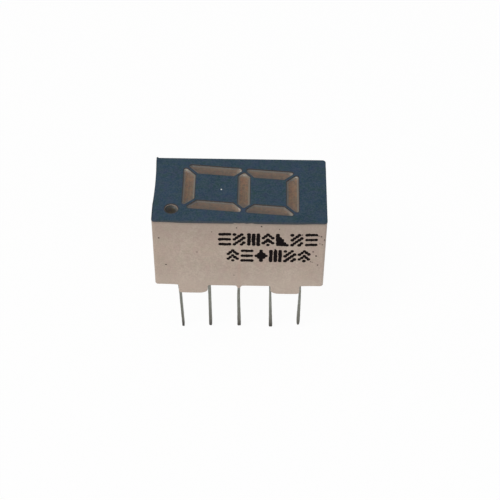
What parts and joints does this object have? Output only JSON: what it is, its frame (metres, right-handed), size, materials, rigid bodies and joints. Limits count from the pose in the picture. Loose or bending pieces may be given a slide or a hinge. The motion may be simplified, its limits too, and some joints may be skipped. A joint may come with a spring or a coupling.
{
  "type": "seven segment display",
  "caption": "Upright light emitting numeral display: a white moulded reflector with a dark printed face, resin filled bar windows, a decimal point and two rows of flat leads.",
  "frame": {"origin": "middle of the seating plane, where the undersides of the four feet meet a board, in the middle of the two rows of leads", "axes": "+Z out of the display's face, +X towards the top of the digit, -Y towards the digit's right side"},
  "size_m": [0.014, 0.0074, 0.0137],
  "materials": {
    "case_plastic": "satin moulded white plastic",
    "face_ink": "matt dark slate ink",
    "well_resin": "cloudy tinted cast resin",
    "board_laminate": "glass and epoxy laminate",
    "copper": "etched copper",
    "die_crystal": "sawn crystal",
    "bond_gold": "drawn gold wire",
    "lead_tin": "dull tinned",
    "solder_alloy": "bright solder",
    "potting_resin": "cast resin with a wet edge"
  },
  "bodies": {
    "root": {"reflector_case": "case_plastic", "face_ink": "face_ink", "segment_a": "well_resin", "segment_b": "well_resin", "segment_c": "well_resin", "segment_d": "well_resin", "segment_e": "well_resin", "segment_f": "well_resin", "segment_g": "well_resin", "segment_point": "well_resin", "circuit_board": "board_laminate", "copper_top": "copper", "copper_bottom": "copper", "die_a": "die_crystal", "die_b": "die_crystal", "die_c": "die_crystal", "die_d": "die_crystal", "die_e": "die_crystal", "die_f": "die_crystal", "die_g": "die_crystal", "die_point": "die_crystal", "wire_a": "bond_gold", "wire_b": "bond_gold", "wire_c": "bond_gold", "wire_d": "bond_gold", "wire_e": "bond_gold", "wire_f": "bond_gold", "wire_g": "bond_gold", "wire_point": "bond_gold", "lead_1": "lead_tin", "lead_2": "lead_tin", "lead_3": "lead_tin", "lead_4": "lead_tin", "lead_5": "lead_tin", "lead_6": "lead_tin", "lead_7": "lead_tin", "lead_8": "lead_tin", "lead_9": "lead_tin", "lead_10": "lead_tin", "solder_1": "solder_alloy", "solder_2": "solder_alloy", "solder_3": "solder_alloy", "solder_4": "solder_alloy", "solder_5": "solder_alloy", "solder_6": "solder_alloy", "solder_7": "solder_alloy", "solder_8": "solder_alloy", "solder_9": "solder_alloy", "solder_10": "solder_alloy", "back_potting": "potting_resin"}
  },
  "joints": []
}
